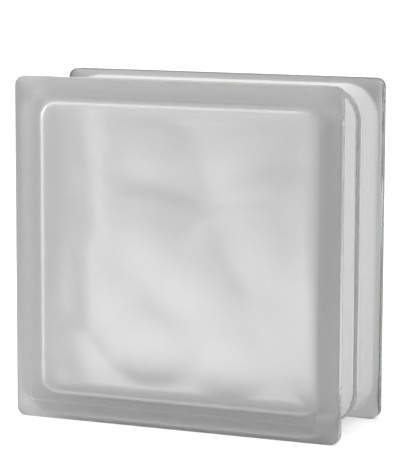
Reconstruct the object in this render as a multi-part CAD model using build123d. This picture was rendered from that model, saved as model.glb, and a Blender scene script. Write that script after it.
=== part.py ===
from build123d import *
from collections import namedtuple
from math import asin, cos, degrees, radians, sqrt, tan
import os

# A hollow glass block, in millimetres: X along the face, Y through the wall, Z up.
# It stands on the edges of its two flanges. The origin is the middle of that footprint.
# Two equal pressed pans are fused mouth to mouth at Y = 0. The front one faces -Y.

# Overall size
FACE_SIZE = 190.0
BLOCK_DEPTH = 80.0

# Flange: the square rim of each pan, wider than the walls behind it
FLANGE_CORNER_R = 5.0
FLANGE_DEPTH = 9.0
FLANGE_BACK_BEVEL = 0.8
CHANNEL_DEPTH = 3.5
CHANNEL_ROOT_R = 1.5

# Face: a flat panel set a little below the lip of a rolled border
BORDER_WIDTH = 10.5
ROLL_WIDTH = 9.6
ROLL_R = 17.0
RIM_EDGE_R = 2.0
PANEL_RECESS = 0.4
PANEL_CORNER_R = 1.6

# Walls of the pan: they thin towards the open mouth, so that the plunger draws out
BODY_CORNER_R = 18.0
WALL_AT_MOUTH = 7.0
DRAFT = 3.0
CAVITY_FLOOR_R = 7.0

# Fused seam: the softened mouths swell outwards and inwards where they meet
SEAM_HALF_WIDTH = 5.0
SEAM_SWELL_OUT = 1.1
SEAM_SWELL_IN = 1.5

# Wave relief on the inside of the face: shallow round hollows that meet in ridges.
# A low crown cuts the highest ridges and ends in a plain margin along the walls.
FACE_THINNEST = 5.6
CROWN_TOP = 12.4
CROWN_R = 600.0
FIELD_SIZE = 151.4
FIELD_CORNER_R = 6.0
WAVE_R = 160.0
Hollow = namedtuple("Hollow", "x z sink")
HOLLOWS = [
    Hollow(-38.3, 148.1, 2.55),
    Hollow(-26.9, 155.7, 1.8),
    Hollow(-14.0, 153.0, 1.65),
    Hollow(48.2, 151.0, 1.95),
    Hollow(-28.1, 106.0, 0.0),
    Hollow(6.5, 78.7, 1.2),
    Hollow(51.3, 104.4, 2.55),
    Hollow(-44.9, 82.0, 0.3),
    Hollow(-13.6, 50.2, 0.45),
    Hollow(31.0, 28.4, 1.8),
    Hollow(-58.1, 52.0, 5.4),
    Hollow(64.0, 169.3, 2.85),
]

# Derived sizes
HALF_DEPTH = BLOCK_DEPTH / 2
MID_HEIGHT = FACE_SIZE / 2
BODY_SIZE = FACE_SIZE - 2 * CHANNEL_DEPTH
MOUTH_SIZE = BODY_SIZE - 2 * WALL_AT_MOUTH
MARGIN_DEPTH = CROWN_TOP - CROWN_R + sqrt(CROWN_R**2 - (FIELD_SIZE / 2) ** 2)
FLOOR_SIZE = MOUTH_SIZE - 2 * (HALF_DEPTH - MARGIN_DEPTH) * tan(radians(DRAFT))

# How far a cutting shape runs on past the glass that it cuts
OVERRUN = 1.0


def rounded_square(size, corner_r, depth):
    """An upright rounded square, centred on the block, at a depth behind the front face."""
    plane = Plane(
        origin=(0, depth - HALF_DEPTH, MID_HEIGHT), x_dir=(1, 0, 0), z_dir=(0, -1, 0)
    )
    return plane * RectangleRounded(size, size, corner_r)


def slab(size, corner_r, depth_from, depth_to):
    """A plate with rounded corners between two depths."""
    return extrude(rounded_square(size, corner_r, depth_from), amount=depth_from - depth_to)


def rolled_section():
    """The rim seen end on: a flat lip line, rolled back by a broad arc and a small one."""
    side = FACE_SIZE / 2
    lip = side - ROLL_WIDTH
    front = -HALF_DEPTH
    centres_apart = ROLL_R - RIM_EDGE_R
    turn = degrees(asin((ROLL_WIDTH - RIM_EDGE_R) / centres_apart))
    edge_centre = Vector(side - RIM_EDGE_R, front + ROLL_R - centres_apart * cos(radians(turn)))
    lip_line = Line((0, front), (lip, front))
    roll = CenterArc((lip, front + ROLL_R), ROLL_R, 270, turn)
    edge = CenterArc(edge_centre, RIM_EDGE_R, 270 + turn, 90 - turn)
    back = front + FLANGE_DEPTH
    side_line = Polyline((side, edge_centre.Y), (side, back), (0, back), (0, front))
    half = make_face([lip_line, roll, edge, side_line])
    return half + mirror(half, Plane.YZ)


def flange():
    """The rim of the pan: both rolled sections crossed, so that they mitre at the corners."""
    upright = extrude(Plane.XY * rolled_section(), amount=FACE_SIZE)
    level = upright.rotate(Axis((0, 0, MID_HEIGHT), (0, 1, 0)), 90)
    rim = slab(FACE_SIZE, FLANGE_CORNER_R, 0, FLANGE_DEPTH) & upright & level
    rim = chamfer(rim.faces().sort_by(Axis.Y)[-1].edges(), FLANGE_BACK_BEVEL)
    panel_size = FACE_SIZE - 2 * BORDER_WIDTH
    return rim - slab(panel_size, PANEL_CORNER_R, -OVERRUN, PANEL_RECESS)


def outer_wall():
    """The outside of the walls, from inside the flange to the middle of the seam."""
    return slab(BODY_SIZE, BODY_CORNER_R, FLANGE_DEPTH / 2, HALF_DEPTH)


def seam_ring():
    """The softened mouth: half a lens of glass that follows the wall all the way round."""
    outside = WALL_AT_MOUTH / 2
    half_lens = make_face(
        [
            Line((-outside, -SEAM_HALF_WIDTH), (outside, -SEAM_HALF_WIDTH)),
            bead_arc(outside, SEAM_SWELL_OUT, 1),
            Line((outside + SEAM_SWELL_OUT, 0), (-outside - SEAM_SWELL_IN, 0)),
            bead_arc(outside, SEAM_SWELL_IN, -1),
        ]
    )
    middle_r = BODY_CORNER_R - WALL_AT_MOUTH / 2
    path = rounded_square(BODY_SIZE - WALL_AT_MOUTH, middle_r, HALF_DEPTH).wire()
    start = path @ 0
    outward = start - Vector(0, 0, MID_HEIGHT)
    along_side = abs(outward.X) > abs(outward.Z)
    x_dir = (outward.X, 0, 0) if along_side else (0, 0, outward.Z)
    normal = Vector(*x_dir).cross(Vector(0, 1, 0))
    return sweep(Plane(origin=start, x_dir=x_dir, z_dir=normal) * half_lens, path=path)


def bead_arc(wall_edge, height, side):
    """One side of the bead: an arc that is level with the seam's plane where it ends there."""
    bead_r = (SEAM_HALF_WIDTH**2 + height**2) / (2 * height)
    mid_run = SEAM_HALF_WIDTH / 2
    mid_height = sqrt(bead_r**2 - mid_run**2) - (bead_r - height)
    return ThreePointArc(
        (side * wall_edge, -SEAM_HALF_WIDTH),
        (side * (wall_edge + mid_height), -mid_run),
        (side * (wall_edge + height), 0),
    )


def plunger():
    """What shapes the walls: two wedges crossed, with rounded edges and a plain flat end."""
    mouth = MOUTH_SIZE / 2
    floor = FLOOR_SIZE / 2
    floor_y = MARGIN_DEPTH - HALF_DEPTH
    corners = [(-mouth, 0), (mouth, 0), (floor, floor_y), (-floor, floor_y)]
    section = make_face(Polyline(*corners, close=True))
    upright = extrude(section, amount=FACE_SIZE)
    core = upright & upright.rotate(Axis((0, 0, MID_HEIGHT), (0, 1, 0)), 90)
    slanted = core.edges().filter_by(lambda edge: edge.bounding_box().size.Y > HALF_DEPTH / 2)
    core = fillet(slanted, BODY_CORNER_R - WALL_AT_MOUTH)
    return fillet(core.faces().sort_by(Axis.Y)[0].edges(), CAVITY_FLOOR_R)


def waved_glass():
    """The glass behind the panel: a low cushion arched both ways, with the hollows in it."""
    plate = slab(FACE_SIZE, FLANGE_CORNER_R, 0, CROWN_TOP + OVERRUN)
    axis_y = CROWN_TOP - HALF_DEPTH - CROWN_R
    arch = Pos(0, axis_y, MID_HEIGHT) * Cylinder(CROWN_R, 2 * FACE_SIZE)
    waves = plate & arch & arch.rotate(Axis((0, 0, MID_HEIGHT), (0, 1, 0)), 90)
    for hollow in HOLLOWS:
        deepest = FACE_THINNEST + hollow.sink
        centre_y = deepest - HALF_DEPTH + WAVE_R
        waves -= Pos(hollow.x, centre_y, hollow.z) * Sphere(WAVE_R)
    return waves


def cavity():
    """The hollow of one pan: where a hollow is deeper than the margin it dips below the floor."""
    field_from = FACE_THINNEST - OVERRUN
    field = slab(FIELD_SIZE, FIELD_CORNER_R, field_from, MARGIN_DEPTH + OVERRUN)
    return plunger() + field - waved_glass()


def filled_pan():
    """The outside of one pan, solid, with the root of the channel rounded."""
    pan = flange() + outer_wall()
    rings = [face for face in pan.faces().filter_by(Axis.Y) if face.inner_wires()]
    flange_back = max(rings, key=lambda face: face.center().Y)
    root = flange_back.inner_wires()[0].edges()
    return fillet(root, CHANNEL_ROOT_R)


def pressed_half():
    """One pan as it leaves the mould, standing as the front of the block."""
    return filled_pan() - cavity() + seam_ring()


front_half = pressed_half()
back_half = front_half.rotate(Axis.Z, 180)

os.makedirs("parts", exist_ok=True)
for name, shape in {"front_half": front_half, "back_half": back_half}.items():
    shape.label = name
    export_step(shape, f"parts/{name}.step")
    print(name, "volume cm3", round(shape.volume / 1000, 1), "box", shape.bounding_box())
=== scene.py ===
# %% [markdown]
# # A hollow glass block
# The real block is two square pans of pressed glass, fused mouth to mouth while hot.
# Its front is etched to a satin, and a pale coat on the walls of its channels holds the mortar.
# The CAD model brings the two pans, at their true size, as a fixed frame.
# Here we build one smooth skin in their place, because fused glass is one body: light passes
# the seam without meeting a surface. Then we finish the glass, and light it in a plain studio.

# %% The frame
import bmesh
import bpy
from math import asin, cos, exp, log, pi, radians, sin, sqrt, tan
from mathutils import Matrix, Vector


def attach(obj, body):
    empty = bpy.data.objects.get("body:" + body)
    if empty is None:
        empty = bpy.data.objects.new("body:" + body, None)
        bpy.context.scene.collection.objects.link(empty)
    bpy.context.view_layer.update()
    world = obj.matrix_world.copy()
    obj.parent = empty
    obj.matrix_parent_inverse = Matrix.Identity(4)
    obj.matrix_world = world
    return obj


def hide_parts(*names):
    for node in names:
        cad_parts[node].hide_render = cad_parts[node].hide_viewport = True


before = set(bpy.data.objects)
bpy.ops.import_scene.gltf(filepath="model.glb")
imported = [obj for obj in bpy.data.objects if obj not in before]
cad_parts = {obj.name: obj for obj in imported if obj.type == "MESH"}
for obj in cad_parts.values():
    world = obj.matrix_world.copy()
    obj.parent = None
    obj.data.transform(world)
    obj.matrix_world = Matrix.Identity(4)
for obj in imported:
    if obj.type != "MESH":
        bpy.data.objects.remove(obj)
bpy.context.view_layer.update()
MM = 0.001

# %% [markdown]
# ## The camera
# A long lens from a little over a metre shows the block almost as a drawing would.
# It stands to the right and slightly above, so that the front, the right channel and the top
# edge all show. An angle round the block and an angle above the floor are easier to adjust
# than a place in space, so the place is worked out from them.

# %% The camera
BLOCK_CENTRE = Vector((0, 0, 0.095))
CAMERA_ROUND = 22.71
CAMERA_ABOVE = 8.63
CAMERA_DISTANCE = 1.242
AIM_POINT = Vector((0.0002, 0, 0.1074))
CAMERA_ROLL = -0.19
LENS_MM = 178.8


def direction_from(round_block, above):
    """The way from the block to a place given by two angles, in degrees."""
    turn, rise = radians(round_block), radians(above)
    return Vector((sin(turn) * cos(rise), -cos(turn) * cos(rise), sin(rise)))


camera_lens = bpy.data.cameras.new("camera")
camera_lens.lens = LENS_MM
camera = bpy.data.objects.new("camera", camera_lens)
bpy.context.collection.objects.link(camera)
camera.location = BLOCK_CENTRE + CAMERA_DISTANCE * direction_from(CAMERA_ROUND, CAMERA_ABOVE)
gaze = (AIM_POINT - camera.location).to_track_quat("-Z", "Y").to_matrix().to_4x4()
camera.rotation_euler = (gaze @ Matrix.Rotation(radians(-CAMERA_ROLL), 4, "Z")).to_euler()
bpy.context.scene.camera = camera
print("the camera stands at", [round(v, 3) for v in camera.location])

# %% [markdown]
# ## A ring that follows the block
# Every cut through the block parallel to its face is a rounded square. So a pan can be drawn
# as a row of rings, each a bit further in or back than the one before, like the coils of a
# basket. Every ring has the same number of points, and each point has a number that says where
# it lies on any rounded square, counted from the middle of the lower right corner. Points with
# one number line up from ring to ring, and that gives even, flowing faces. Clear glass needs
# them: it shows every uneven facet as a kink in what is seen through it.

# %% Where a numbered point lies
FACE_SIZE = 190.0
HALF_DEPTH = 40.0
MID_HEIGHT = 95.0
CORNER_STEPS = 12
SIDE_STEPS = 38
QUARTER = CORNER_STEPS + SIDE_STEPS
RING_COUNT = 4 * QUARTER


def ring_point(number, size, corner_r, depth):
    """A numbered point of a rounded square, at a depth behind the front face."""
    quarter_turns, step = divmod(number, QUARTER)
    reach = size / 2 - corner_r
    half_corner = CORNER_STEPS // 2
    if step <= half_corner:
        angle = radians(45 * (step / half_corner - 1))
        x, z = reach + corner_r * cos(angle), corner_r * sin(angle) - reach
    elif step < half_corner + SIDE_STEPS:
        x, z = size / 2, reach * (2 * (step - half_corner) / SIDE_STEPS - 1)
    else:
        angle = radians(45 * (step - half_corner - SIDE_STEPS) / half_corner)
        x, z = reach + corner_r * cos(angle), corner_r * sin(angle) + reach
    for _ in range(quarter_turns):
        x, z = -z, x
    return Vector((x, depth - HALF_DEPTH, z + MID_HEIGHT)) * MM


print("a ring has", RING_COUNT, "points,", CORNER_STEPS, "steps to a corner")

# %% [markdown]
# ## Laying a ring
# A circle is the primitive, with as many points as a ring needs. An integer attribute keeps
# their numbers. An extrude copies the attribute with the points, so a new rim knows its
# numbers too. Only the selected points are moved, and after an extrude those are the new rim.

# %% The first ring, and laying any ring
def lay_ring(piece, size, corner_r, depth):
    """Lays the selected points on a rounded square."""
    mesh = bmesh.from_edit_mesh(piece.data)
    number = mesh.verts.layers.int["number"]
    for point in mesh.verts:
        if point.select:
            point.co = ring_point(point[number], size, corner_r, depth)
    bmesh.update_edit_mesh(piece.data)


def first_ring(name, size, corner_r, depth):
    """A circle of numbered points on its rounded square, left selected in edit mode."""
    bpy.ops.object.select_all(action="DESELECT")
    bpy.ops.mesh.primitive_circle_add(vertices=RING_COUNT, fill_type="NOTHING")
    piece = bpy.context.object
    piece.name = name
    number = piece.data.attributes.new("number", "INT", "POINT")
    number.data.foreach_set("value", list(range(RING_COUNT)))
    bpy.ops.object.mode_set(mode="EDIT")
    bpy.ops.mesh.select_mode(type="EDGE")
    bpy.ops.mesh.select_all(action="SELECT")
    lay_ring(piece, size, corner_r, depth)
    return piece


# %% [markdown]
# ## Pulling a skin
# A skin starts as a flat sheet and ends as an open rim, like a pie case pulled up from its
# base. Grid fill closes the first ring with rows of square faces, counted from the active
# point. Then the rim is extruded once for each ring of a profile. A profile is a list of
# rings: how far in from the side, with what corner radius, and how far behind the face.

# %% From a profile to a skin
def pull_skin(name, profile):
    """Fills the first ring of a profile with a grid, and pulls its rim through the others."""
    inset, corner_r, depth = profile[0]
    piece = first_ring(name, FACE_SIZE - 2 * inset, corner_r, depth)
    mesh = bmesh.from_edit_mesh(piece.data)
    mesh.verts.ensure_lookup_table()
    mesh.select_history.add(mesh.verts[0])
    bpy.ops.mesh.fill_grid(span=QUARTER)
    bpy.ops.mesh.select_all(action="DESELECT")
    bpy.ops.mesh.select_non_manifold(extend=False, use_wire=True, use_boundary=True,
                                     use_multi_face=False, use_non_contiguous=False,
                                     use_verts=False)
    for inset, corner_r, depth in profile[1:]:
        bpy.ops.mesh.extrude_edges_move()
        lay_ring(piece, FACE_SIZE - 2 * inset, corner_r, depth)
    bpy.ops.object.mode_set(mode="OBJECT")
    print(name, "has", len(profile), "rings and", len(piece.data.polygons), "faces")
    return piece


# %% [markdown]
# ## The face and its rolled border
# From the middle outwards: a flat panel, set a little below a lip. Then the lip rolls away to
# the side in one broad curve, like the edge of a cushion, and ends in a small round edge.
# The curve is two arcs that meet without a corner, so the angle where the broad one stops is
# worked out, not guessed. Curves get more rings than flats.

# %% From the panel to the rim
BORDER_WIDTH = 10.5
PANEL_RECESS = 0.4
ROLL_WIDTH = 9.6
ROLL_R = 17.0
RIM_EDGE_R = 2.0
RIM_CORNER_R = 5.0
LIP_CORNER_R = 1.6
PANEL_STEP = ((12.0, PANEL_RECESS), (11.0, PANEL_RECESS), (10.75, 0.37),
              (10.4, 0.2), (10.1, 0.03), (9.8, 0.0))
ROLL_RINGS = 8
EDGE_RINGS = 5


def rim_corner(inset):
    """The corners grow rounder from the lip out to the rim."""
    share = min(inset / BORDER_WIDTH, 1)
    return RIM_CORNER_R + (LIP_CORNER_R - RIM_CORNER_R) * share


outside_profile = [(inset, rim_corner(inset), depth) for inset, depth in PANEL_STEP]
roll_turn = asin((ROLL_WIDTH - RIM_EDGE_R) / (ROLL_R - RIM_EDGE_R))
for step in range(ROLL_RINGS + 1):
    angle = roll_turn * step / ROLL_RINGS
    inset = ROLL_WIDTH - ROLL_R * sin(angle)
    outside_profile.append((inset, rim_corner(inset), ROLL_R * (1 - cos(angle))))
roll_fall = ROLL_R * (1 - cos(roll_turn))
for step in range(1, EDGE_RINGS + 1):
    angle = roll_turn + (pi / 2 - roll_turn) * step / EDGE_RINGS
    inset = RIM_EDGE_R * (1 - sin(angle))
    fall = roll_fall + RIM_EDGE_R * (cos(roll_turn) - cos(angle))
    outside_profile.append((inset, rim_corner(inset), fall))
print("the roll turns", round(roll_turn * 180 / pi, 1), "degrees and falls", round(roll_fall, 2), "mm")

# %% [markdown]
# ## The channel and the seam
# Behind the flange the glass steps in to a channel, where the mortar goes, and the wall runs
# back to the seam. There the hot mouths were pressed together and swelled into a bead. On each
# side of the wall the bead is an arc that is highest at the seam. The small roundings are
# quarter circles, again a few rings each: light catches on them, and a sharp edge looks cut.

# %% From the rim down the channel to the seam
FLANGE_DEPTH = 9.0
FLANGE_BACK_R = 0.8
CHANNEL_DEPTH = 3.5
CHANNEL_ROOT_R = 1.5
BODY_CORNER_R = 18.0
SEAM_HALF_WIDTH = 5.0
SEAM_SWELL_OUT = 1.1
SMALL_EDGE_RINGS = 3
ROOT_RINGS = 4
WALL_RINGS = 4
BEAD_RINGS = 6


def bead_height(from_seam, height):
    """How far the bead stands out, where it is an arc that is highest at the seam."""
    bead_r = (SEAM_HALF_WIDTH**2 + height**2) / (2 * height)
    return sqrt(bead_r**2 - from_seam**2) - (bead_r - height)


outside_profile.append((0, RIM_CORNER_R, FLANGE_DEPTH - FLANGE_BACK_R))
for step in range(1, SMALL_EDGE_RINGS + 1):
    angle = pi / 2 * step / SMALL_EDGE_RINGS
    inset = FLANGE_BACK_R * (1 - cos(angle))
    depth = FLANGE_DEPTH - FLANGE_BACK_R * (1 - sin(angle))
    outside_profile.append((inset, RIM_CORNER_R - inset, depth))
for step in range(ROOT_RINGS + 1):
    angle = pi / 2 * step / ROOT_RINGS
    inset = CHANNEL_DEPTH - CHANNEL_ROOT_R * (1 - sin(angle))
    depth = FLANGE_DEPTH + CHANNEL_ROOT_R * (1 - cos(angle))
    outside_profile.append((inset, BODY_CORNER_R + CHANNEL_DEPTH - inset, depth))
wall_from = FLANGE_DEPTH + CHANNEL_ROOT_R
wall_run = HALF_DEPTH - SEAM_HALF_WIDTH - wall_from
for step in range(1, WALL_RINGS):
    outside_profile.append((CHANNEL_DEPTH, BODY_CORNER_R, wall_from + wall_run * step / WALL_RINGS))
for step in range(BEAD_RINGS + 1):
    from_seam = SEAM_HALF_WIDTH * (1 - step / BEAD_RINGS)
    swell = bead_height(from_seam, SEAM_SWELL_OUT)
    outside_profile.append((CHANNEL_DEPTH - swell, BODY_CORNER_R + swell, HALF_DEPTH - from_seam))
glass_block = pull_skin("glass_block", outside_profile)

# %% [markdown]
# ## The cavity
# A plunger pressed the inside: plain walls that lean three degrees, so that it could be drawn
# out again, and a round fillet along the floor. That fillet matters more than its size
# suggests. Seen from the front it turns light round inside the solid rim, and shows as the
# thin bright line along the edges of the panel.
# The skin is pulled in the same way, with the filled grid as the floor. The floor starts level,
# at the depth of its plain margin, which is where a low crown in the middle runs out.

# %% The floor, the fillet and the walls
WALL_AT_MOUTH = 7.0
DRAFT = 3.0
CAVITY_FLOOR_R = 7.0
SEAM_SWELL_IN = 1.5
CROWN_TOP = 12.4
CROWN_R = 600.0
FIELD_SIZE = 151.4
PLUNGER_CORNER_R = BODY_CORNER_R - WALL_AT_MOUTH
FILLET_RINGS = 10
INNER_WALL_RINGS = 6


def wall_inset(depth):
    """How far in from the side the leaning inner wall stands at a depth."""
    return CHANNEL_DEPTH + WALL_AT_MOUTH + (HALF_DEPTH - depth) * tan(radians(DRAFT))


def crown_depth(across):
    """The low crown that the waves are cut into: deepest glass in the middle."""
    return CROWN_TOP - CROWN_R + sqrt(CROWN_R**2 - across**2)


margin_depth = crown_depth(FIELD_SIZE / 2)
fillet_depth = margin_depth + CAVITY_FLOOR_R
fillet_inset = wall_inset(fillet_depth) + CAVITY_FLOOR_R / cos(radians(DRAFT))
cavity_profile = []
for step in range(FILLET_RINGS + 1):
    angle = radians(90 - DRAFT) * step / FILLET_RINGS
    inset = fillet_inset - CAVITY_FLOOR_R * sin(angle)
    depth = fillet_depth - CAVITY_FLOOR_R * cos(angle)
    cavity_profile.append((inset, PLUNGER_CORNER_R - (inset - wall_inset(depth)), depth))
wall_from = depth
wall_run = HALF_DEPTH - SEAM_HALF_WIDTH - wall_from
for step in range(1, INNER_WALL_RINGS):
    depth = wall_from + wall_run * step / INNER_WALL_RINGS
    cavity_profile.append((wall_inset(depth), PLUNGER_CORNER_R, depth))
for step in range(BEAD_RINGS + 1):
    from_seam = SEAM_HALF_WIDTH * (1 - step / BEAD_RINGS)
    depth = HALF_DEPTH - from_seam
    swell = bead_height(from_seam, SEAM_SWELL_IN)
    cavity_profile.append((wall_inset(depth) + swell, PLUNGER_CORNER_R - swell, depth))
print("the floor's margin lies", round(margin_depth, 2), "mm behind the face")
cavity = pull_skin("cavity", cavity_profile)

# %% [markdown]
# ## Finer and facing the right way
# The waves need closer points than the rings give, so every face is divided once.
# The skin came out facing into the glass. A face should always look away from the glass, here
# into the hollow, because the shader takes the front of a face for the air side. So it is
# flipped.

# %% Divide and flip
bpy.ops.object.mode_set(mode="EDIT")
bpy.ops.mesh.select_all(action="SELECT")
bpy.ops.mesh.subdivide(number_cuts=1, smoothness=0)
bpy.ops.mesh.flip_normals()
bpy.ops.object.mode_set(mode="OBJECT")
print("the cavity now has", len(cavity.data.polygons), "faces")

# %% [markdown]
# ## The waves
# The wave pattern is not drawn line by line. It is a set of shallow round hollows, as if balls
# of one size had been pressed into the floor. Where two hollows meet they leave a ridge, and
# the ridges make the net that the eye reads as waves. So each point of the floor asks how
# deep the glass is at every hollow, and keeps the lowest. A plain minimum would leave ridges
# as sharp as a fold. A sum of exponentials gives the same answer away from the ridges, and
# rounds them where hollows meet, as hot glass does. Near the walls the waves are eased out.

# %% The hollows and their ridges
FACE_THINNEST = 5.6
WAVE_R = 160.0
RIDGE_SHARPNESS = 3.0
EASE_WIDTH = 4.0
HOLLOWS = (   # place across, place up, how much less deep than the deepest
    (-38.3, 148.1, 2.55), (-26.9, 155.7, 1.8), (-14.0, 153.0, 1.65), (48.2, 151.0, 1.95),
    (-28.1, 106.0, 0.0), (6.5, 78.7, 1.2), (51.3, 104.4, 2.55), (-44.9, 82.0, 0.3),
    (-13.6, 50.2, 0.45), (31.0, 28.4, 1.8), (-58.1, 52.0, 5.4), (64.0, 169.3, 2.85),
)


def waved_depth(x, z):
    """How far behind the face the floor lies: the lowest of the hollows and the crown."""
    total = exp(-RIDGE_SHARPNESS * crown_depth(max(abs(x), abs(z - MID_HEIGHT))))
    for across, up, sink in HOLLOWS:
        hollow = FACE_THINNEST + sink + ((x - across) ** 2 + (z - up) ** 2) / (2 * WAVE_R)
        total += exp(-RIDGE_SHARPNESS * hollow)
    return -log(total) / RIDGE_SHARPNESS


def eased(x, z):
    """1 over the waves, falling smoothly to 0 where the plain margin begins."""
    furthest = max(abs(x), abs(z - MID_HEIGHT))
    share = min(max((FIELD_SIZE / 2 - furthest) / EASE_WIDTH, 0), 1)
    return share * share * (3 - 2 * share)


floor_depths = []
for point in cavity.data.vertices:
    x, depth, z = point.co.x / MM, point.co.y / MM + HALF_DEPTH, point.co.z / MM
    if depth < margin_depth + MM:
        depth += eased(x, z) * (waved_depth(x, z) - depth)
        floor_depths.append(depth)
        point.co.y = (depth - HALF_DEPTH) * MM
print("the face is", round(min(floor_depths), 2), "to", round(max(floor_depths), 2), "mm thick")

# %% [markdown]
# ## Fusing the two pans
# Both skins of the front pan end in rings on the seam, but on two different squares, so they
# stay apart: one runs round the outside, the other round the cavity. The copy is turned half
# round the upright axis, which is how the back pan really lies against the front one. Its
# rings land exactly on the first ones. Merging the doubles there fuses the pans.
# Counting open edges is the test: a glass shader needs a skin without a single hole.

# %% Join, turn, merge
MERGE_WITHIN = 0.01
SMOOTH_BELOW = 40
bpy.ops.object.select_all(action="DESELECT")
cavity.select_set(True)
glass_block.select_set(True)
bpy.context.view_layer.objects.active = glass_block
bpy.ops.object.join()
bpy.ops.object.mode_set(mode="EDIT")
bpy.ops.mesh.select_all(action="SELECT")
bpy.ops.mesh.duplicate()
bpy.ops.transform.rotate(value=pi, orient_axis="Z", orient_type="GLOBAL", center_override=(0, 0, 0))
bpy.ops.mesh.select_all(action="SELECT")
bpy.ops.mesh.remove_doubles(threshold=MERGE_WITHIN * MM)
bpy.ops.object.mode_set(mode="OBJECT")
bpy.ops.object.shade_smooth_by_angle(angle=radians(SMOOTH_BELOW))
solid = bmesh.new()
solid.from_mesh(glass_block.data)
open_edges = sum(1 for edge in solid.edges if not edge.is_manifold)
print("open edges", open_edges, "volume", round(solid.calc_volume() * 1e6, 1), "cm3")
solid.free()

# %% [markdown]
# ## How far light may travel
# Light that crosses the block meets four surfaces, and light in its solid rim many more. The
# renderer counts them, and drops light that has met too many, so the limits go up here. With
# low limits the inside of thick glass turns black.
# Materials and the room are drawn with nodes. One helper adds a node and fills its inputs,
# and two more add and multiply. They keep the recipes below as short as they would be on paper.

# %% Light paths, and helpers for nodes
GLOSSY_BOUNCES = 16
GLASS_BOUNCES = 24


def add_node(tree, kind, feeds=(), **settings):
    """Adds a node. Of its inputs, a socket is wired up and a plain number is written in."""
    node = tree.nodes.new(kind)
    for name, value in settings.items():
        setattr(node, name, value)
    for name, value in dict(feeds).items():
        if isinstance(value, bpy.types.NodeSocket):
            tree.links.new(value, node.inputs[name])
        else:
            node.inputs[name].default_value = value
    return node


def number_from(tree, operation, first, second=0.0):
    """One step of arithmetic on numbers that change over a surface."""
    return add_node(tree, "ShaderNodeMath", {0: first, 1: second}, operation=operation).outputs["Value"]


def sum_of(tree, first, *others):
    for other in others:
        first = number_from(tree, "ADD", first, other)
    return first


def product_of(tree, first, *others):
    for other in others:
        first = number_from(tree, "MULTIPLY", first, other)
    return first


scene = bpy.context.scene
scene.view_settings.view_transform = "Standard"
scene.cycles.max_bounces = GLASS_BOUNCES
scene.cycles.glossy_bounces = GLOSSY_BOUNCES
scene.cycles.transmission_bounces = GLASS_BOUNCES
print("light may pass", GLASS_BOUNCES, "surfaces of glass")

# %% [markdown]
# ## The studio light
# Clear glass shows hardly any colour of its own. It shows the room, bent and dimmed, so the
# room has to be as plain and as soft as the one the real block stood in.
# The world is that room: an even level all round, a broad soft panel at the left, a softer
# one overhead, and a dimmer stretch behind the block. Each panel fades from its centre to its
# edge. A hard edge would show in every wave of the glass as a line that isn't there.
# The camera itself sees plain white, so the background stays white at any level of light.

# %% The room and its soft panels
ROOM_LEVEL = 0.74
LEFT_TOWARD = (-1, -0.55, 0.22)
LEFT_EDGE = 88
LEFT_FULL = 15
LEFT_LEVEL = 1.12
TOP_TOWARD = (0, 0, 1)
TOP_EDGE = 60
TOP_FULL = 20
TOP_LEVEL = 0.4
REAR_TOWARD = (0.7, 1, 0.05)
REAR_EDGE = 70
REAR_FULL = 10
REAR_DIP = -0.26
WHITE = (1, 1, 1, 1)
studio = bpy.data.worlds.new("studio")
scene.world = studio
studio.use_nodes = True
room = studio.node_tree
toward = room.nodes.new("ShaderNodeTexCoord").outputs["Generated"]


def soft_panel(centre, edge, full, level):
    """A round panel of light: full round its centre, fading to nothing at its edge."""
    feeds = {0: toward, 1: Vector(centre).normalized()}
    facing = add_node(room, "ShaderNodeVectorMath", feeds, operation="DOT_PRODUCT")
    feeds = {"Value": facing.outputs["Value"], "From Min": cos(radians(edge)),
             "From Max": cos(radians(full)), "To Max": level}
    fade = add_node(room, "ShaderNodeMapRange", feeds, interpolation_type="SMOOTHSTEP")
    return fade.outputs["Result"]


room_light = sum_of(room, soft_panel(LEFT_TOWARD, LEFT_EDGE, LEFT_FULL, LEFT_LEVEL),
                    soft_panel(TOP_TOWARD, TOP_EDGE, TOP_FULL, TOP_LEVEL),
                    soft_panel(REAR_TOWARD, REAR_EDGE, REAR_FULL, REAR_DIP), ROOM_LEVEL)
room_path = room.nodes.new("ShaderNodeLightPath")
room_seen = add_node(room, "ShaderNodeMix", {"Factor": room_path.outputs["Is Camera Ray"],
                                             "A": room_light, "B": WHITE}, data_type="RGBA")
room.links.new(room_seen.outputs["Result"], room.nodes["Background"].inputs["Color"])
print("the room is", ROOM_LEVEL, "all round, and", ROOM_LEVEL + LEFT_LEVEL, "at its left panel")

# %% [markdown]
# ## The floor
# The floor is a wide pale sheet. The block stands on it, throws a soft shadow on it, and
# shows a lot of it: most of what is seen low in the panel is floor behind the block.
# For the camera the sheet glows a little, so that it meets the white background without a
# line. Rays that come from the glass see a darker copy of the sheet with a painted pool of
# light on it, brightest towards the front left: painted light, which no lamp makes. This slow
# change from bright to dim is what makes the waves readable: every hollow shows a small picture
# of it, bright on one side and dim on the other.

# %% The pale sheet
FLOOR_SPAN = 30
FLOOR_PALE = 0.85
FLOOR_WHITENING = 0.45
# What the glass sees of the sheet: painted shade, and a painted pool of light.
PAINTED_DIM_FOR_GLASS = 0.4
PAINTED_POOL_BRIGHT = 0.68
PAINTED_POOL_TOWARD = (-1, -1, 0)
PAINTED_POOL_FROM = -0.55
PAINTED_POOL_TO = 0.35
bpy.ops.object.select_all(action="DESELECT")
bpy.ops.mesh.primitive_plane_add(size=FLOOR_SPAN, location=(0, 0, 0))
floor = bpy.context.object
floor.name = "floor"
pale_sheet = bpy.data.materials.new("pale_sheet")
pale_sheet.use_nodes = True
sheet = pale_sheet.node_tree
sheet_shader = sheet.nodes["Principled BSDF"]
sheet_shader.inputs["Roughness"].default_value = 1.0
sheet_shader.inputs["Specular IOR Level"].default_value = 0.0
sheet_shader.inputs["Emission Color"].default_value = WHITE
sheet_path = sheet.nodes.new("ShaderNodeLightPath").outputs
sheet_place = sheet.nodes.new("ShaderNodeTexCoord").outputs["Object"]
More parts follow.
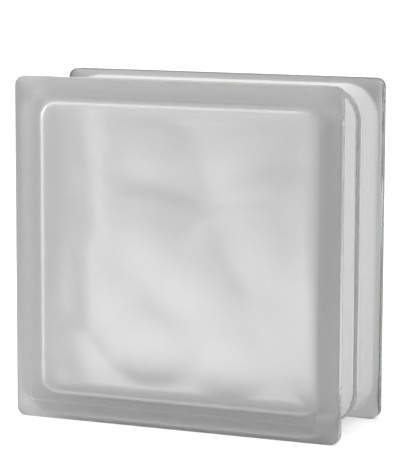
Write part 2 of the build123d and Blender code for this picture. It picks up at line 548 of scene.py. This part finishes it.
by_glass = number_from(sheet, "MAXIMUM", sheet_path["Is Glossy Ray"], sheet_path["Is Transmission Ray"])
# Painted shade: for rays from the glass the sheet's colour is painted darker.
sheet_pale_and_painted_dim = add_node(sheet, "ShaderNodeMapRange",
                        {"Value": by_glass, "To Min": FLOOR_PALE, "To Max": PAINTED_DIM_FOR_GLASS})
sheet.links.new(sheet_pale_and_painted_dim.outputs["Result"], sheet_shader.inputs["Base Color"])
print("the floor is", FLOOR_PALE, "pale")

# %% [markdown]
# The painted pool of light is a dot product: how far a place lies towards the front left, in metres.
# A Map Range turns that distance into a strength of painted light, with a smooth start and end.
# A Map Range turns that distance into a strength, with a smooth start and end.

# %% The painted pool of light across the sheet
# Painted light: a pool of light painted into the sheet's glow, seen only from the glass.
feeds = {0: sheet_place, 1: Vector(PAINTED_POOL_TOWARD).normalized()}
toward_painted_pool = add_node(sheet, "ShaderNodeVectorMath", feeds, operation="DOT_PRODUCT")
feeds = {"Value": toward_painted_pool.outputs["Value"], "From Min": PAINTED_POOL_FROM, "From Max": PAINTED_POOL_TO,
         "To Min": 0.0, "To Max": PAINTED_POOL_BRIGHT}
painted_light_pool = add_node(sheet, "ShaderNodeMapRange", feeds, interpolation_type="SMOOTHSTEP")
painted_pool_for_glass = product_of(sheet, by_glass, painted_light_pool.outputs["Result"])
seen_by_camera = product_of(sheet, sheet_path["Is Camera Ray"], FLOOR_WHITENING)
sheet.links.new(sum_of(sheet, painted_pool_for_glass, seen_by_camera), sheet_shader.inputs["Emission Strength"])
floor.data.materials.append(pale_sheet)
print("the camera sees the sheet", FLOOR_WHITENING, "brighter, the glass up to", PAINTED_POOL_BRIGHT)

# %% [markdown]
# ## One glass, three finishes
# The whole block is one body of glass, so it gets one material. Its finishes differ by place.
# The front face and its rolled border are etched, which is nothing but a higher roughness.
# The channel walls carry a pale coat. The shoulders, which are the narrow faces of the flanges
# inside the channels, kept the rough skin of the iron mould, and are painted darker as shade.
# The rest is clear and smooth.
# A mask is a number from 0 to 1 for each point: 1 inside its finish, 0 elsewhere. Masks are
# made from the block's own coordinates, so they stay in place however the block is turned.
# Clouds of noise, sized in millimetres, keep every finish from being perfectly even.

# %% Tools for masks
CLOUD_CONTRAST = 0.55
pressed_glass = bpy.data.materials.new("pressed_glass")
pressed_glass.use_nodes = True
glass = pressed_glass.node_tree
place = glass.nodes.new("ShaderNodeTexCoord").outputs["Object"]
across_wall = add_node(glass, "ShaderNodeSeparateXYZ", {"Vector": place}).outputs["Y"]


def vector_from(operation, *feeds, result="Vector"):
    """One step of arithmetic on places."""
    feeds = dict(enumerate(feeds))
    return add_node(glass, "ShaderNodeVectorMath", feeds, operation=operation).outputs[result]


def between(value, low, high):
    """1 where a distance lies between two lengths in mm, and 0 elsewhere."""
    return product_of(glass, number_from(glass, "GREATER_THAN", value, low * MM),
                      number_from(glass, "LESS_THAN", value, high * MM))


def cloud(size, detail):
    """Soft random blotches, 0 to 1, about as large as size in mm."""
    feeds = {"Vector": place, "Scale": 1 / (size * MM), "Detail": detail, "Roughness": CLOUD_CONTRAST}
    return add_node(glass, "ShaderNodeTexNoise", feeds).outputs["Fac"]


def centred_cloud(size, detail, height):
    """The same blotches, as much below zero as above it."""
    return product_of(glass, number_from(glass, "SUBTRACT", cloud(size, detail), 0.5), height)


# %% [markdown]
# ## Where each finish lies
# The etching ends on the rolled border, so its mask fades with the distance behind the face.
# The other two lie on the outside of the walls only. Inside and outside are told apart by the
# distance from the straight core of the rounded square: the wall's middle is the limit.
# Along the depth the seam is the zero, and both pans are alike, so one distance from the seam
# serves both. A small wobble keeps the coat's edge from being as straight as a ruler.

# %% The masks
ETCH_DEPTH = 4.4
ETCH_FADE = 0.6
COAT_FROM = 5.1
COAT_TO = 30.2
SHOULDER_TO = 31.8
WOBBLE = 0.3
WOBBLE_SIZE = 4
feeds = {"Value": across_wall, "From Min": (ETCH_DEPTH - HALF_DEPTH) * MM,
         "From Max": (ETCH_DEPTH - ETCH_FADE - HALF_DEPTH) * MM}
etched = add_node(glass, "ShaderNodeMapRange", feeds).outputs["Result"]
core_half = (FACE_SIZE / 2 - CHANNEL_DEPTH - BODY_CORNER_R) * MM
from_middle = vector_from("SUBTRACT", place, (0, 0, MID_HEIGHT * MM))
in_the_face = vector_from("MULTIPLY", from_middle, (1, 0, 1))
past_core = vector_from("SUBTRACT", vector_from("ABSOLUTE", in_the_face), (core_half, 0, core_half))
from_core = vector_from("LENGTH", vector_from("MAXIMUM", past_core, (0, 0, 0)), result="Value")
wall_middle = (BODY_CORNER_R - WALL_AT_MOUTH / 2) * MM
on_outside = number_from(glass, "GREATER_THAN", from_core, wall_middle)
seam_distance = sum_of(glass, number_from(glass, "ABSOLUTE", across_wall),
                       centred_cloud(WOBBLE_SIZE, 2, WOBBLE * MM))
coated = product_of(glass, between(seam_distance, COAT_FROM, COAT_TO), on_outside)
at_shoulder = product_of(glass, between(seam_distance, COAT_TO, SHOULDER_TO), on_outside)
print("the coat runs from", COAT_FROM, "to", COAT_TO, "mm each side of the seam")

# %% [markdown]
# ## Rough and clear
# Glass is the Principled shader with full transmission and the index of refraction of window
# glass. These two are the same all over, so they are set on the shader itself. Roughness
# changes by place: next to nothing on clear glass, and high on the etched face and the
# shoulders. The shoulders are also painted darker in the base colour: painted shade, for
# light dimmed on its long way through the flanges.
# Thick glass takes a little of the light that passes. That is a Volume Absorption, and its
# strength is the share lost in each metre.

# %% Roughness, tint, painted shade and loss
CLEAR_ROUGH = 0.02
ETCHED_ROUGH = 0.42
SHOULDER_ROUGH = 0.45
ROUGH_CLOUD = 0.06
ROUGH_CLOUD_SIZE = 12
ETCHED_TINT = 0.97
SHOULDER_PAINTED_SHADE = 0.42
GLASS_IOR = 1.52
LOST_PER_METRE = 4.0
BLACK = (0, 0, 0, 1)
glass_shader = glass.nodes["Principled BSDF"]
glass_output = glass.nodes["Material Output"]
glass_shader.inputs["IOR"].default_value = GLASS_IOR
glass_shader.inputs["Transmission Weight"].default_value = 1.0
etched_rough = sum_of(glass, centred_cloud(ROUGH_CLOUD_SIZE, 3, ROUGH_CLOUD), ETCHED_ROUGH - CLEAR_ROUGH)
roughness = sum_of(glass, product_of(glass, etched, etched_rough),
                   product_of(glass, at_shoulder, SHOULDER_ROUGH), CLEAR_ROUGH)
glass.links.new(roughness, glass_shader.inputs["Roughness"])
# Base colour: a faint tint on the etched face, and painted shade darkening the shoulders.
tint_and_painted_shade = sum_of(glass, product_of(glass, etched, 1 - ETCHED_TINT),
               product_of(glass, at_shoulder, 1 - SHOULDER_PAINTED_SHADE))
glass.links.new(number_from(glass, "SUBTRACT", 1.0, tint_and_painted_shade), glass_shader.inputs["Base Color"])
feeds = {"Color": BLACK, "Density": LOST_PER_METRE}
absorption = add_node(glass, "ShaderNodeVolumeAbsorption", feeds).outputs["Volume"]
glass.links.new(absorption, glass_output.inputs["Volume"])
print("clear glass is", CLEAR_ROUGH, "rough, etched glass", ETCHED_ROUGH)

# %% [markdown]
# ## Ripples, grain and mottling
# Pressed glass is never quite flat: it chills against the iron and keeps long faint ripples.
# The etched skin has a fine grain, and the shoulders are mottled. All of these are too shallow
# to model, so they go into a Bump node. Its distance is a millimetre, so that the heights can
# be written in millimetres.

# %% Relief of the skin
RIPPLE_SIZE = 18.0
RIPPLE_HEIGHT = 0.02
GRAIN_SIZE = 0.9
GRAIN_HEIGHT = 0.008
MOTTLE_SIZE = 2.5
MOTTLE_HEIGHT = 0.12
heights = sum_of(glass, product_of(glass, cloud(RIPPLE_SIZE, 1), RIPPLE_HEIGHT),
                 product_of(glass, etched, cloud(GRAIN_SIZE, 2), GRAIN_HEIGHT),
                 product_of(glass, at_shoulder, cloud(MOTTLE_SIZE, 3), MOTTLE_HEIGHT))
relief = add_node(glass, "ShaderNodeBump", {"Height": heights, "Distance": MM}).outputs["Normal"]
glass.links.new(relief, glass_shader.inputs["Normal"])
print("ripples", RIPPLE_HEIGHT, "mm high, grain", GRAIN_HEIGHT, "mm, mottling", MOTTLE_HEIGHT, "mm")

# %% [markdown]
# ## The pale coat
# The coat is a thin layer of vinyl paint, brushed round the channels so that mortar grips.
# It sends most light back, and lets some through into the glass behind it. So it is a mix of
# a Diffuse and a Translucent shader, and the coat's mask lays that mix over the glass.
# The front face gets much of its light from these walls, from the inside, which is why the
# coat is a part of this material, and not a skin of its own that hides the glass.

# %% Coat over glass
COAT_PALE = 0.92
COAT_CLOUD = 0.08
COAT_CLOUD_SIZE = 7
COAT_THROUGH = 0.3
coat_colour = sum_of(glass, centred_cloud(COAT_CLOUD_SIZE, 4, COAT_CLOUD), COAT_PALE)
coat_front = add_node(glass, "ShaderNodeBsdfDiffuse", {"Color": coat_colour}).outputs["BSDF"]
coat_behind = add_node(glass, "ShaderNodeBsdfTranslucent", {"Color": coat_colour}).outputs["BSDF"]
feeds = {"Fac": COAT_THROUGH, 1: coat_front, 2: coat_behind}
coat = add_node(glass, "ShaderNodeMixShader", feeds).outputs["Shader"]
feeds = {"Fac": coated, 1: glass_shader.outputs["BSDF"], 2: coat}
finished = add_node(glass, "ShaderNodeMixShader", feeds).outputs["Shader"]
glass.links.new(finished, glass_output.inputs["Surface"])
glass_block.data.materials.clear()
glass_block.data.materials.append(pressed_glass)
print("the coat lets through", COAT_THROUGH, "of what it scatters")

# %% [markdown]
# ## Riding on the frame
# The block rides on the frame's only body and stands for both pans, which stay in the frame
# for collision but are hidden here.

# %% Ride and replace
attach(glass_block, "root")
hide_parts("front_half", "back_half")
